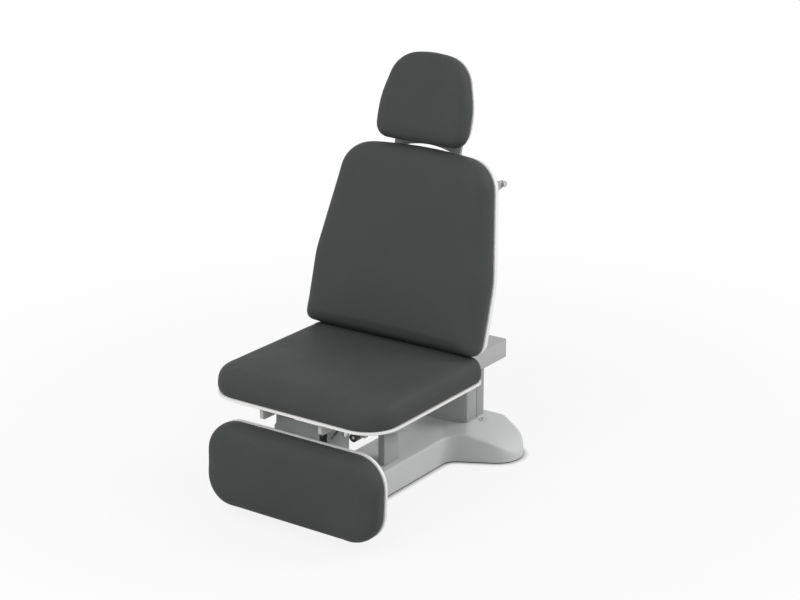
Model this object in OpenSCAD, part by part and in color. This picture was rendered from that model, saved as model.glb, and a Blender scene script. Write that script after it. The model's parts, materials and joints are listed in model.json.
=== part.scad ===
// Procedure chair: low swept base, telescoping rear lift column, seat, reclining
// back, swinging foot section and height-adjustable tilting headrest.
// The chair faces -Y. The origin is on the floor under the centre of the column.

/* [Seat] */
// Width of the seat, and of the back at its foot
seat_w = 622; // [560:2:680]
// Depth of the seat cushion
seat_d = 556; // [500:2:600]
// Height of the seat pan's lower edge above the floor, fully lowered
seat_h = 358; // [352:1:372]
// How far the seat's front edge stands in front of the column's centre
seat_reach = 831; // [800:1:850]
// Thickness of the seat cushion at its edge
seat_t = 74; // [60:1:80]
// Rise of the seat cushion's middle above its edge
seat_crown = 16; // [8:1:24]
// Radius of the seat's front corners, seen from above
seat_front_r = 103; // [70:1:120]
// Radius of the seat's rear corners, seen from above
seat_rear_r = 42; // [30:2:60]
// Thickness of the seat pan's rim
pan_t = 8; // [6:0.5:10]

/* [Back] */
// Length of the back cushion
back_l = 584; // [520:1:640]
// Thickness of the back cushion
back_t = 74; // [60:1:80]
// Half width of the back at its shoulders' taper end
back_top_half_w = 252; // [220:1:270]
// Recline of the back at rest, from upright
back_recline = 15.7; // [12:0.1:18]
// Thickness of the back's moulded shell
back_shell_t = 24; // [20:1:28]
// Travel of the back, from upright to flat
back_range = 74; // [60:1:76]

/* [Headrest] */
// Length of the head cushion
head_l = 269; // [220:1:300]
// Half width of the head cushion near its foot
head_half_w = 156; // [130:1:180]
// Half width of the head cushion near its top
head_top_half_w = 115; // [90:1:130]
// Thickness of the head cushion
head_t = 62; // [50:1:70]
// Gap between the back's top and the head cushion, lowest setting
head_gap = 10; // [8:1:40]
// Travel of the headrest's posts
head_travel = 120; // [60:5:150]

/* [Foot section] */
// Width of the foot cushion
foot_w = 611; // [560:1:660]
// Gap between the seat pan and the top of the hanging foot cushion
foot_gap = 73; // [66:1:90]
// Thickness of the foot cushion
foot_t = 62; // [50:1:68]
// Radius of the foot cushion's corners
foot_r = 93; // [70:1:110]
// Tilt of the hanging foot section, its lower edge forward
foot_tilt = 3; // [0:0.5:5]
// Floor clearance under the hanging foot cushion
foot_floor = 27; // [20:1:40]
// How far the foot cushion's lower edge stands in front of the seat
foot_forward = 22; // [0:1:40]

/* [Base] */
// Half width of the base's narrow body at the floor
base_half_w = 88; // [80:1:100]
// Height of the base's body at its edges
base_edge_h = 85; // [78:1:92]
// Height of the base where it meets the column
base_top_h = 106; // [98:1:112]
// Wall of the base cover
base_wall = 4; // [3:0.5:6]

/* [Column] */
// Width of the lift column
col_w = 198; // [180:1:220]
// Depth of the lift column at its sides
col_d = 105; // [96:1:120]
// Bow of the lift column's front face
col_bow = 18; // [10:1:26]
// Wall of each column stage
col_wall = 5; // [4:0.5:6]
// Travel of each of the two moving stages
stage_travel = 150; // [100:5:155]

/* [Hidden] */

$fn = 48;
// One length that lets every cut run past the faces it opens
over = 1;
// Gap that clears a soft or curved neighbour
seat_gap = 0.3;
// Radial clearance of a running fit
fit = 0.05;
// Arc steps of a rounded corner
arc_n = 8;

// Steps of a wide, shallow arc
sweep_n = 14;

// Shares of a cushion's thickness: how far its side stands in, and at what height
side_shares = [[0.10, 0], [0.03, 0.10], [0, 0.28], [0, 0.48], [0.05, 0.70], [0.16, 0.87], [0.30, 0.97], [0.44, 1]];
// Shares of a cushion's half size at which the rings of its crown lie
crown_shares = [0.8, 0.58, 0.34, 0.14];

// Seat: where its faces lie
seat_front_y = -seat_reach;
seat_rear_y = seat_front_y + seat_d;
seat_half = seat_w / 2;
rim_top = seat_h + pan_t;
seat_edge_top = rim_top + seat_t;

// Seat frame: two plate rails on flat cross bars
rail_in = 98.5;
rail_t = 12;
rail_out = rail_in + rail_t;
rail_setback = 11;
rail_drop = 35;
rail_nose_r = 8;
rail_bottom = seat_h - rail_drop;
rail_front_y = seat_front_y + rail_setback;
cross_h = 10;
cross_w = 40;
// Depth to which the cross bars are let into the rails
cross_let = 1;
cross_front_in = 226;
cross_front_y = seat_front_y + cross_front_in;
cross_pitch = 185;
frame_base = rail_bottom - cross_h;

// Pan: a flange under the cushion's edge and a raised middle over the rails
pan_wall = 2;
hat_rise = 32;
hat_half = 150;
hat_setback = 36;
hat_front_y = seat_front_y + hat_setback;
hat_top = rim_top + hat_rise;
rail_top = hat_top - pan_wall;

// Foot section: its hinge, and its own plane, whose origin is its lower front edge
foot_pivot_in = 66;
foot_pivot_below = 1;
foot_pivot_y = seat_front_y + foot_pivot_in;
foot_pivot_z = seat_h - foot_pivot_below;
foot_plane_y = seat_front_y - foot_forward;
foot_plane_z = foot_floor;
foot_h = seat_h - foot_floor - foot_gap;
foot_half = foot_w / 2;
foot_shell_t = 13;
foot_back = foot_t + foot_shell_t;
foot_crown = 9;
// The hinge seen in that plane: up it, and behind it
foot_dy = foot_pivot_y - foot_plane_y;
foot_dz = foot_pivot_z - foot_plane_z;
foot_axis_s = foot_dy * sin(foot_tilt) + foot_dz * cos(foot_tilt);
foot_axis_d = foot_dy * cos(foot_tilt) - foot_dz * sin(foot_tilt);

// Foot carrier: a channel between the rails that hangs from the hinge
hub_r = 14;
pin_r = 8;
pin_collar = 3;
arm_in = 87;
arm_out = 97;
arm_deep = 44;
arm_low = 125;
arm_shoulder = 36;
web_t = 3;
web_right = 60;
web_notch_s = 215;
cheek_out = 103;
// Radius about the hinge that clears the ends of the rails as the carrier swings
swing_r = 67;
cheek_mid = 50;
cheek_deep = 91;
cheek_top_in = 60;
cheek_drop = 50;
cheek_step = 28;
screw_x = 45;
screw_in = 22;
screw_r = 6;
screw_h = 3;

// Drives: a crank pin runs in a slotted rod head, and the rod slides along the chair
crank_pin_r = 6;
crank_boss_r = 10;
crank_rib_t = 6;
slot_play = 3;
head_play = 3;
rod_r = 8;
rod_head_d = 40;
tube_wall_r = 6;
drive_tube_r = rod_r + tube_wall_r;
foot_crank = 94;
foot_crank_a = 43.5;
foot_range = 87;
foot_rod_x = 72;
foot_head_half = 12;
foot_pin_y = foot_pivot_y + foot_crank * sin(foot_crank_a);
foot_pin_z = foot_pivot_z - foot_crank * cos(foot_crank_a);
foot_rod_below = 76;
foot_rod_z = foot_pivot_z - foot_rod_below;
foot_head_up = 33;
foot_head_down = 35;
foot_tube_in = 176;
foot_tube_y = seat_front_y + foot_tube_in;
foot_tube_l = 280;
foot_tube_end = 10;
foot_rib_x = foot_rod_x - foot_head_half - head_play;

// Back: its own plane, whose origin is the cushion's lower front edge
sit_depth = 461;
back_lift = 21;
back_y = seat_front_y + sit_depth;
back_z = seat_edge_top + back_lift;
back_half = seat_half;
back_foot_r = 42;
back_taper_s = 222;
back_waist_r = 350;
back_top_r = 104;
back_arch = 16;
back_arch_r = 1200;
back_crown = 10;
back_rear = back_t + back_shell_t;
shell_wall = 4;
shell_rim = 10;
shell_step = 4;

// Back hinge, crank and drive
back_pivot_in = 10;
back_pivot_up = 20;
back_pivot_y = seat_rear_y - back_pivot_in;
back_pivot_z = seat_h + back_pivot_up;
back_hub_r = 16;
back_pin_r = 10;
rail_end_past = 22;
rail_end_y = back_pivot_y + rail_end_past;
back_crank = 75;
back_crank_a = 37;
back_crank_boss_r = 12;
back_rod_x = -62;
back_head_half = 11;
back_rib_t = 8;
back_pin_y = back_pivot_y + back_crank * sin(back_crank_a);
back_pin_z = back_pivot_z - back_crank * cos(back_crank_a);
back_rod_below = 67.5;
back_rod_z = back_pivot_z - back_rod_below;
back_head_up = 21.5;
back_head_down = 21.5;
back_tube_in = 273;
back_tube_y = seat_front_y + back_tube_in;
back_tube_l = 132;
back_rod_in = 22;
back_gear_l = 34;
gear_gap = 1;
// Play of the back's rod in its way under the rear cross bar
rod_way = 1;
gearbox_l = 55;
saddle_w = 20;
saddle_in = 50;
arm_under = 60;
arm_clear = 2;
shell_roll = 12;
back_rib_x = back_rod_x - back_head_half - head_play;

// Back frame: two box tubes behind the shell and two cross bars
upright_x = 89;
upright_w = 20;
upright_d = 25;
upright_wall = 2.5;
upright_s = [20, 408];
cross_s = [60, 360];
cross_bar_h = 30;
bar_t = 6;
back_arm_t = 10;

// Headrest: hinge, shell and posts
head_s = back_l + head_gap;
head_foot_r = 60;
head_waist_share = 0.44;
head_waist_r = 250;
head_top_r = 98;
head_arch = 10;
head_arch_r = 300;
head_crown = 9;
head_shell_t = 10;
head_roll = 6;
head_back = head_t + head_shell_t;
head_pin_r = 4;
head_boss_r = 10;
head_pin_up = 20;
head_pin_s = head_s + head_pin_up;
leg_in = 84;
leg_out = 119;
leg_gap = 5;
leg_d = back_t + leg_gap;
leg_t = 11;
head_pin_d = leg_d + leg_t / 2;
leg_drop = 230;
guide_wall = 4;
guide_gap = 0.3;
guide_step = 1;
guide_l = 86;
guide_top_in = 14;
arch_rise = 12;
arch_t = 12.5;
arch_below = 2.5;
knuckle_r = 9;
knuckle_out = 80;
hinge_plate_t = 4;
hinge_up = 90;

// Paper roll holder on the back of the shell
roll_x = 244;
bracket_t = 4;
rod_s = 512;
rod_out = 42;
roll_rod_r = 6;
roll_end = 8;
roll_collar_r = 9;
strap_w = 8;
strap_l = 84;
strap_off = 14;
strap_bend = 24;
strap_r = 7.2;
strap_top = 10.4;
strap_end = 2.7;
slot_half = 4;
slot_low = 12;
slot_bend = 16;
slot_end = 20;

// Column: nested stages with glide rings between them
col_half = col_w / 2;
col_front = 52;
col_rear = col_d - col_front;
// Facets of the bow's full circle
bow_n = 200;
bow_r = (col_half * col_half + col_bow * col_bow) / (2 * col_bow);
col_rear_r = 12;
stage_gap = 2;
glide_t = 1.7;
glide_h = 19;
groove_w = 3;
groove_d = 2;
// Place of the groove behind the column's centre
groove_y = 2.5;
pad_t = 3;
plate_t = 8;
plate_top = pad_t + plate_t;
// Drop of the lowest stage's top below the seat pan, and the steps between the stages' tops
stage_drop = 103;
stage_step = 1;
beam_gap = 5;
outer_top = seat_h - stage_drop;
middle_lift = 5;
middle_top = outer_top + stage_step;
inner_lift = 9;
beam_bottom = middle_top + beam_gap;
lift_tube_r = 25;
lift_wall = 4;
// Radial play between the lift's rod and its sleeve
lift_play = 1;
lift_tube_in = 19;
lift_sleeve_in = 14;
lift_tube_top = outer_top - lift_tube_in;
lift_sleeve_top = middle_top - lift_sleeve_in;
cap_plate_t = 8;

// Chassis beam under the seat, its hood and the landing block
beam_half = 93;
beam_wall = 5;
beam_front_in = 211;
beam_front_y = seat_front_y + beam_front_in;
beam_rear_y = 170;
beam_top = frame_base;
hood_half = col_half;
hood_wall = 3;
hood_front_y = -180;
hood_past = 12;
hood_lap = 4;
hood_rear_y = beam_rear_y + hood_past;
hood_bottom = beam_bottom - hood_lap;
hood_r = 10;
bolt_r = 6;
bolt_head_r = 10;
bolt_head_h = 7;
bolt_x = 50;
bolt_y = 30;
block_front_y = -475;
block_len = 117;
block_drop = [51, 79];
block_nose = 10;
block_r = 8;

// Rest post in front of the column
post_x = 44;
post_w = 23;
post_y = -455;
post_l = 74;
post_wall = 3;
post_cap_t = 8;
post_gap = 0.3;

// Control socket under the seat's edge
socket_x = 165;
socket_r = 13;
socket_l = 30;
socket_in = 101;
socket_below = 53;
socket_y = seat_front_y + socket_in;
socket_z = seat_h - socket_below;
socket_dot_r = 5;
socket_dot_deep = 2;
bracket_reach = 30;
bracket_half = 8;
bracket_wall = 3;

// Base: plan corners as [half width, place, corner radius], and its roof lines
base_front_y = -685;
base_waist_y = -143;
wing_x = 387;
wing_y = 22;
base_rear_y = 154;
nose_r = 40;
waist_r = 50;
wing_r = 86;
tail_r = 200;
base_crown = 22;
crown_r = 320;
shelf_gap = 0.3;
pad_inset = 8;
roof_r = 90;
wing_reach = 265;
// Wing roof from the middle out: shares of the wings' reach, the base's height and the roof radius
wing_shares = [
    [0, 1.03, 0], [0.38, 1, 1], [0.53, 0.87, 1], [0.68, 0.735, 1], [0.83, 0.585, 1], [0.94, 0.40, 1], [1, 0.19, 0.3]
];
// Tail roof from the waist back: shares of the tail's length, the base's height and the roof radius
tail_shares = [
    [-1.5, 0.76, 0], [-1.2, 0.79, 1], [-0.78, 0.87, 1], [-0.4, 0.98, 1],
    [0.42, 1, 1], [0.68, 0.85, 1], [0.88, 0.62, 1], [1, 0.36, 0.3]
];
nose_rise = 52;
nose_back = 70;
plug_x = 115;
plug_y = 10;
plug_r = 12;
plug_below = 4;
plug_top = base_top_h - plug_below;
plug_l = 16;
inlet_half = 24;
inlet_top = 44;
inlet_back = 31;
inlet_proud = 1.5;
inlet_hole = [26, 15, 18];
inlet_hole_z = 20;
tail_flat = base_rear_y - tail_r * (1 / sin(atan(wing_x / (base_rear_y - wing_y))) - 1);
motor_front = -265;
motor_mid = -150;
motor_rear = -80;
motor_r = 28;
gear_half = 40;
gear_h = 58;

// Outline whose corners, given as [x, y, radius], are rounded by arcs
function rounded(cs, n = arc_n) = [
    for (i = [0 : len(cs) - 1])
        let (
            q = cs[i],
            u = unit(cs[(i + len(cs) - 1) % len(cs)] - q),
            v = unit(cs[(i + 1) % len(cs)] - q),
            half = acos(u * v) / 2,
            mid = unit3(u + v),
            c = [q[0], q[1]] + mid * q[2] / sin(half),
            a = [q[0], q[1]] + u * q[2] / tan(half) - c,
            b = [q[0], q[1]] + v * q[2] / tan(half) - c,
            from = atan2(a[1], a[0]),
            turn = (atan2(b[1], b[0]) - from + 540) % 360 - 180
        )
        each q[2] == 0
            ? [[q[0], q[1]]]
            : [for (k = [0 : n]) c + q[2] * [cos(from + turn * k / n), sin(from + turn * k / n)]]
];
// Plan direction of a corner's side
function unit(p) = [p[0], p[1]] / norm([p[0], p[1]]);
function unit3(p) = p / norm(p);
// Outline set in by e along its corners' bisectors
function inset(pts, e) = [
    for (i = [0 : len(pts) - 1])
        let (
            a = unit3(pts[i] - pts[(i + len(pts) - 1) % len(pts)]),
            b = unit3(pts[(i + 1) % len(pts)] - pts[i]),
            m = unit3([-a[1] - b[1], a[0] + b[0]])
        )
        pts[i] + m * e / (m * [-a[1], a[0]])
];
function middle(pts) = [for (k = [0, 1]) (max([for (p = pts) p[k]]) + min([for (p = pts) p[k]])) / 2];
function at_height(pts, z) = [for (p = pts) [p[0], p[1], z]];
// Four corners of a bar that joins two bosses
function link(a, ra, b, rb) =
    let (d = unit3(b - a), n = [-d[1], d[0]])
    [a + n * ra, a - n * ra, b - n * rb, b + n * rb];

// Closed solid through rings of equal count, bottom first
module skin(rings) {
    n = len(rings[0]);
    last = len(rings) - 1;
    polyhedron(
        points = [for (r = rings) each r],
        faces = concat(
            [[for (j = [0 : n - 1]) j]],
            [for (i = [0 : last - 1], j = [0 : n - 1])
                [i * n + j, (i + 1) * n + j, (i + 1) * n + (j + 1) % n, i * n + (j + 1) % n]],
            [[for (j = [n - 1 : -1 : 0]) last * n + j]]
        ),
        convexity = 4
    );
}

// Upholstered pad: drawn-in foot, full side, rolled edge and crowned top
module pad(outline, t, crown) {
    mid = middle(outline);
    top = inset(outline, side_shares[len(side_shares) - 1][0] * t);
    skin(concat(
        [for (s = side_shares) at_height(inset(outline, s[0] * t), s[1] * t)],
        [for (c = crown_shares) at_height([for (p = top) mid + (p - mid) * c], t + crown * (1 - c * c))]
    ));
}

// Moulded tray's outer form: straight rim, then a rolled rear edge
module tray(outline, t, roll) {
    skin([
        at_height(inset(outline, roll), 0),
        at_height(inset(outline, roll / 2), roll / 6),
        at_height(inset(outline, roll / 6), roll / 2),
        at_height(outline, roll),
        at_height(outline, t)
    ]);
}

// Plate of thickness t with its outline in the YZ plane, from x on
module side_plate(x, t, pts) {
    translate([x, 0, 0]) rotate([90, 0, 90]) linear_extrude(t) polygon(pts);
}

// Round bar along X or along Y
module bar_x(x, l, y, z, r) {
    translate([x, y, z]) rotate([0, 90, 0]) cylinder(h = l, r = r);
}
module bar_y(y, l, x, z, r) {
    translate([x, y, z]) rotate([-90, 0, 0]) cylinder(h = l, r = r);
}

// Box between two corners
module box(a, b) {
    translate(a) cube(b - a);
}

// Planes of the back with the headrest, and of the foot section: x, depth behind, way up
module in_back() {
    translate([0, back_y, back_z]) rotate([-back_recline, 0, 0]) children();
}
module in_foot() {
    translate([0, foot_plane_y, foot_plane_z]) rotate([-foot_tilt, 0, 0]) children();
}
// Outlines drawn across and up such a plane, rising towards its front from depth d
module facing(d) {
    translate([0, d, 0]) rotate([90, 0, 0]) children();
}

// Outlines
seat_outline = rounded([
    [-seat_half, seat_front_y, seat_front_r],
    [seat_half, seat_front_y, seat_front_r],
    [seat_half, seat_rear_y, seat_rear_r],
    [-seat_half, seat_rear_y, seat_rear_r]
]);
foot_outline = rounded([
    [-foot_half, 0, foot_r],
    [foot_half, 0, foot_r],
    [foot_half, foot_h, foot_r],
    [-foot_half, foot_h, foot_r]
]);
back_outline = rounded([
    [-back_half, 0, back_foot_r],
    [back_half, 0, back_foot_r],
    [back_half, back_taper_s, back_waist_r],
    [back_top_half_w, back_l - back_arch, back_top_r],
    [0, back_l, back_arch_r],
    [-back_top_half_w, back_l - back_arch, back_top_r],
    [-back_half, back_taper_s, back_waist_r]
]);
head_outline = rounded([
    [-head_half_w, head_s, head_foot_r],
    [head_half_w, head_s, head_foot_r],
    [head_half_w, head_s + head_l * head_waist_share, head_waist_r],
    [head_top_half_w, head_s + head_l - head_arch, head_top_r],
    [0, head_s + head_l, head_arch_r],
    [-head_top_half_w, head_s + head_l - head_arch, head_top_r],
    [-head_half_w, head_s + head_l * head_waist_share, head_waist_r]
]);
base_outline = rounded([
    [-base_half_w, base_front_y, nose_r],
    [base_half_w, base_front_y, nose_r],
    [base_half_w, base_waist_y, waist_r],
    [wing_x, wing_y, wing_r],
    [0, base_rear_y, tail_r],
    [-wing_x, wing_y, wing_r],
    [-base_half_w, base_waist_y, waist_r]
]);

// Height of the landing block's underside over a place y
function block_under(y) =
    beam_bottom - block_drop[0]
    - (y - block_front_y) * (block_drop[1] - block_drop[0]) / (block_len - block_nose);

// Column stage set in by e, between two heights
module column_form(e, z0, z1) {
    intersection() {
        translate([0, 0, z0]) linear_extrude(z1 - z0) polygon(rounded([
            [e - col_half, -col_front - 2 * col_bow, 0],
            [col_half - e, -col_front - 2 * col_bow, 0],
            [col_half - e, col_rear - e, col_rear_r],
            [e - col_half, col_rear - e, col_rear_r]
        ]));
        translate([0, bow_r - col_front - col_bow, z0]) cylinder(h = z1 - z0, r = bow_r - e, $fn = bow_n);
    }
}

module stage(e, z0, z1) {
    difference() {
        column_form(e, z0, z1);
        column_form(e + col_wall, z0 - over, z1 + over);
    }
}

module glide_ring(e, top) {
    difference() {
        column_form(e, top - glide_h, top);
        column_form(e + glide_t, top - glide_h - over, top + over);
    }
}

// Corner of a roof line
function roof_corner(s, reach) = [s[0] * reach, s[1] * base_top_h, s[2] * roof_r];
// Outer form of the base, set in by e, from the height low up: a crowned body that sweeps into two wings
module base_form(e, low) {
    roof = base_edge_h + base_crown;
    half = base_half_w + over;
    intersection() {
        translate([0, 0, low]) linear_extrude(2 * base_top_h) polygon(inset(base_outline, e));
        union() {
            intersection() {
                rotate([90, 0, 0]) linear_extrude(-base_front_y)
                    polygon(inset(rounded([
                        [-half, -base_edge_h, 0],
                        [half, -base_edge_h, 0],
                        [half, base_edge_h, 0],
                        [0, roof, crown_r],
                        [-half, base_edge_h, 0]
                    ]), e));
                side_plate(-half, 2 * half, inset(rounded([
                    [base_front_y, -base_edge_h, 0],
                    [base_rear_y, -base_edge_h, 0],
                    [base_rear_y, roof + over, 0],
                    [base_front_y + nose_back, roof + over, nose_back],
                    [base_front_y, nose_rise, nose_r]
                ]), e));
            }
            intersection() {
                translate([0, base_rear_y, 0]) rotate([90, 0, 0]) linear_extrude(base_rear_y * 2 - base_waist_y)
                    polygon(inset(rounded(concat(
                        [[-wing_reach, -base_edge_h, 0], [wing_reach, -base_edge_h, 0]],
                        [for (i = [len(wing_shares) - 1 : -1 : 1])
                            roof_corner(wing_shares[i], wing_reach)],
                        [roof_corner(wing_shares[0], wing_reach)],
                        [for (i = [1 : len(wing_shares) - 1])
                            roof_corner(wing_shares[i], -wing_reach)]
                    ), arc_n / 2), e));
                side_plate(-wing_reach, 2 * wing_reach, inset(rounded(concat(
                    [[tail_shares[0][0] * base_rear_y, -base_edge_h, 0], [base_rear_y, -base_edge_h, 0]],
                    [for (i = [len(tail_shares) - 1 : -1 : 0]) roof_corner(tail_shares[i], base_rear_y)]
                ), arc_n / 2), e));
            }
        }
    }
}

module floor_pad() {
    color("#2c2d2e") linear_extrude(pad_t) polygon(inset(base_outline, pad_inset));
}

module base_plate() {
    color("#4a4c4d") translate([0, 0, pad_t]) linear_extrude(plate_t)
        polygon(inset(base_outline, base_wall + shelf_gap));
}

module base_cover() {
    color("#b4b7b7") difference() {
        base_form(0, pad_t);
        difference() {
            base_form(base_wall, 0);
            // Bosses round the plugs' holes
            for (side = [-1, 1]) translate([side * plug_x, plug_y, plug_top - plug_l])
                cylinder(h = plug_l, r = plug_r + base_wall);
        }
        column_form(-shelf_gap, 0, 2 * base_top_h);
        box([post_x - shelf_gap, post_y - shelf_gap, 0],
            [post_x + post_w + shelf_gap, post_y + post_l + shelf_gap, 2 * base_top_h]);
        box([-inlet_half - shelf_gap, tail_flat - inlet_back, 0],
            [inlet_half + shelf_gap, base_rear_y, inlet_top + shelf_gap]);
        for (side = [-1, 1]) translate([side * plug_x, plug_y, plug_top - plug_l - over])
            cylinder(h = 2 * plug_l, r = plug_r + fit);
    }
}

module cover_plugs() {
    color("#242526") for (side = [-1, 1]) translate([side * plug_x, plug_y, plug_top - plug_l])
        cylinder(h = plug_l, r = plug_r);
}

module power_inlet() {
    color("#1f2021") difference() {
        box([-inlet_half, tail_flat - inlet_back, plate_top], [inlet_half, tail_flat + inlet_proud, inlet_top]);
        translate([-inlet_hole[0] / 2, tail_flat + inlet_proud - inlet_hole[1], inlet_hole_z])
            cube([inlet_hole[0], inlet_hole[1] + over, inlet_hole[2]]);
    }
}

// Upright of the rest post: its top follows the landing block's underside
function post_top(y, below) = block_under(y) - post_gap - below;

module rest_post() {
    far = post_y + post_l;
    color("#b4b7b7") difference() {
        side_plate(post_x, post_w, [
            [post_y, plate_top], [far, plate_top], [far, post_top(far, post_cap_t)], [post_y, post_top(post_y, post_cap_t)]
        ]);
        box([post_x + post_wall, post_y + post_wall, plate_top - over],
            [post_x + post_w - post_wall, far - post_wall, beam_bottom]);
    }
}

module post_cap() {
    far = post_y + post_l;
    color("#242526") side_plate(post_x, post_w, [
        [post_y, post_top(post_y, post_cap_t)], [far, post_top(far, post_cap_t)],
        [far, post_top(far, 0)], [post_y, post_top(post_y, 0)]
    ]);
}

module column_outer() {
    color("#a5a8a8") difference() {
        stage(0, plate_top, outer_top);
        for (side = [-1, 1]) translate([side * col_half, groove_y, (plate_top + outer_top) / 2])
            cube([2 * groove_d, groove_w, 2 * outer_top], center = true);
    }
}

module outer_glides() {
    color("#d8d9d8") glide_ring(col_wall, outer_top);
}

module column_middle() {
    color("#b8bbbb") stage(col_wall + stage_gap, plate_top + middle_lift, middle_top);
}

module middle_glides() {
    color("#d8d9d8") glide_ring(2 * col_wall + stage_gap, middle_top);
}

module column_inner() {
    e = 2 * col_wall + 2 * stage_gap;
    color("#c3c5c5") difference() {
        column_form(e, plate_top + inner_lift, beam_bottom);
        column_form(e + col_wall, plate_top, beam_bottom - cap_plate_t);
        bolt_places() cylinder(h = 4 * cap_plate_t, r = bolt_r + fit, center = true);
    }
}

module lift_motor() {
    color("#2a2b2c") union() {
        box([-gear_half, motor_mid, plate_top], [gear_half, motor_rear, plate_top + gear_h]);
        bar_y(motor_front, motor_mid - motor_front, 0, plate_top + motor_r, motor_r);
    }
}

module lift_tube() {
    color("#8d9091") translate([0, 0, plate_top]) difference() {
        cylinder(h = lift_tube_top - plate_top, r = lift_tube_r);
        translate([0, 0, -over]) cylinder(h = lift_tube_top, r = lift_tube_r - lift_wall);
    }
}

module lift_sleeve() {
    r = lift_tube_r - lift_wall - fit;
    color("#9b9e9f") translate([0, 0, plate_top + middle_lift]) difference() {
        cylinder(h = lift_sleeve_top - plate_top - middle_lift, r = r);
        translate([0, 0, -over]) cylinder(h = lift_sleeve_top, r = r + fit - lift_wall - lift_play);
    }
}

module lift_rod() {
    r = lift_tube_r - 2 * lift_wall - lift_play - fit;
    color("#c9cbcc") translate([0, 0, plate_top + inner_lift])
        cylinder(h = beam_bottom - cap_plate_t - plate_top - inner_lift, r = r);
}

// Four bolts through the beam's floor into the column's cap
module bolt_places() {
    for (sx = [-1, 1], sy = [-1, 1]) translate([sx * bolt_x, sy * bolt_y, beam_bottom]) children();
}

module chassis() {
    color("#8f9293") difference() {
        box([-beam_half, beam_front_y, beam_bottom], [beam_half, beam_rear_y, beam_top]);
        box([beam_wall - beam_half, beam_front_y - over, beam_bottom + beam_wall],
            [beam_half - beam_wall, beam_rear_y + over, beam_top + over]);
        bolt_places() cylinder(h = 4 * cap_plate_t, r = bolt_r + fit, center = true);
    }
}

module chassis_hood() {
    color("#d3d4d2") difference() {
        translate([0, 0, hood_bottom]) linear_extrude(beam_top + hood_wall - hood_bottom) polygon(rounded([
            [-hood_half, hood_front_y, 0],
            [hood_half, hood_front_y, 0],
            [hood_half, hood_rear_y, hood_r],
            [-hood_half, hood_rear_y, hood_r]
        ]));
        translate([0, 0, hood_bottom - over]) linear_extrude(beam_top - hood_bottom + over) polygon(rounded([
            [hood_wall - hood_half, hood_front_y - over, 0],
            [hood_half - hood_wall, hood_front_y - over, 0],
            [hood_half - hood_wall, hood_rear_y - hood_wall, hood_r - hood_wall],
            [hood_wall - hood_half, hood_rear_y - hood_wall, hood_r - hood_wall]
        ]));
    }
}

module chassis_bolts() {
    color("#6d7071") bolt_places() {
        translate([0, 0, beam_wall]) cylinder(h = bolt_head_h, r = bolt_head_r);
        translate([0, 0, -cap_plate_t]) cylinder(h = cap_plate_t + beam_wall, r = bolt_r);
    }
}

module landing_block() {
    back = block_front_y + block_len;
    color("#d3d4d2") side_plate(-col_half, col_w, rounded([
        [back, beam_bottom, 0],
        [block_front_y, beam_bottom, 0],
        [block_front_y, block_under(block_front_y), block_r],
        [back - block_nose, block_under(back - block_nose), block_r],
        [back, beam_bottom - block_drop[0] + block_r, block_r]
    ]));
}

module seat_frame() {
    cross_rear_y = cross_front_y + cross_pitch;
    nose = rounded([
        [rail_front_y, rail_bottom, rail_nose_r],
        [rail_end_y, rail_bottom, rail_nose_r],
        [rail_end_y, rail_top, rail_nose_r],
        [hat_front_y + pan_wall + shelf_gap, rail_top, 0],
        [hat_front_y + pan_wall + shelf_gap, seat_h, 0],
        [rail_front_y, seat_h, 0]
    ]);
    color("#c9cac9") difference() {
        union() {
            for (x = [rail_in, -rail_out]) side_plate(x, rail_t, nose);
            for (y = [cross_front_y, cross_rear_y])
                box([-rail_out, y, frame_base], [rail_out, y + cross_w, rail_bottom + cross_let]);
        }
        bar_x(-rail_out - over, 2 * (rail_out + over), foot_pivot_y, foot_pivot_z, pin_r + fit);
        bar_x(-rail_out - over, 2 * (rail_out + over), back_pivot_y, back_pivot_z, back_pin_r + fit);
        // Way for the back's drive rod under the rear cross bar
        bar_y(cross_rear_y - over, cross_w + 2 * over, back_rod_x, back_rod_z, rod_r + rod_way);
    }
}

module seat_pan() {
    color("#dcdddb") difference() {
        union() {
            translate([0, 0, seat_h]) linear_extrude(pan_t) polygon(seat_outline);
            box([-hat_half, hat_front_y, seat_h], [hat_half, seat_rear_y, hat_top]);
        }
        box([pan_wall - hat_half, hat_front_y + pan_wall, seat_h - over],
            [hat_half - pan_wall, seat_rear_y + over, hat_top - pan_wall]);
    }
}

module seat_cushion() {
    color("#4c4e4d") difference() {
        translate([0, 0, rim_top]) pad(seat_outline, seat_t, seat_crown);
        box([-hat_half - seat_gap, hat_front_y - seat_gap, rim_top - over],
            [hat_half + seat_gap, seat_rear_y + over, hat_top + seat_gap]);
    }
}

// Hinge pin with a collar outside each rail
module hinge_pin(y, z, r) {
    color("#8d9091") union() {
        bar_x(-rail_out, 2 * rail_out, y, z, r);
        for (x = [rail_out, -rail_out - pin_collar]) bar_x(x, pin_collar, y, z, r + pin_collar);
    }
}

module foot_pin() {
    hinge_pin(foot_pivot_y, foot_pivot_z, pin_r);
}

module back_pin() {
    hinge_pin(back_pivot_y, back_pivot_z, back_pin_r);
}

// Drive tube on saddles that stand on the beam's floor
module drive_tube(x, z, y, l, saddles) {
    floor_z = beam_bottom + beam_wall;
    difference() {
        union() {
            bar_y(y, l, x, z, drive_tube_r);
            for (sy = saddles)
                box([x - drive_tube_r, sy, floor_z], [x + drive_tube_r, sy + saddle_w, z]);
        }
        children();
    }
}

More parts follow.
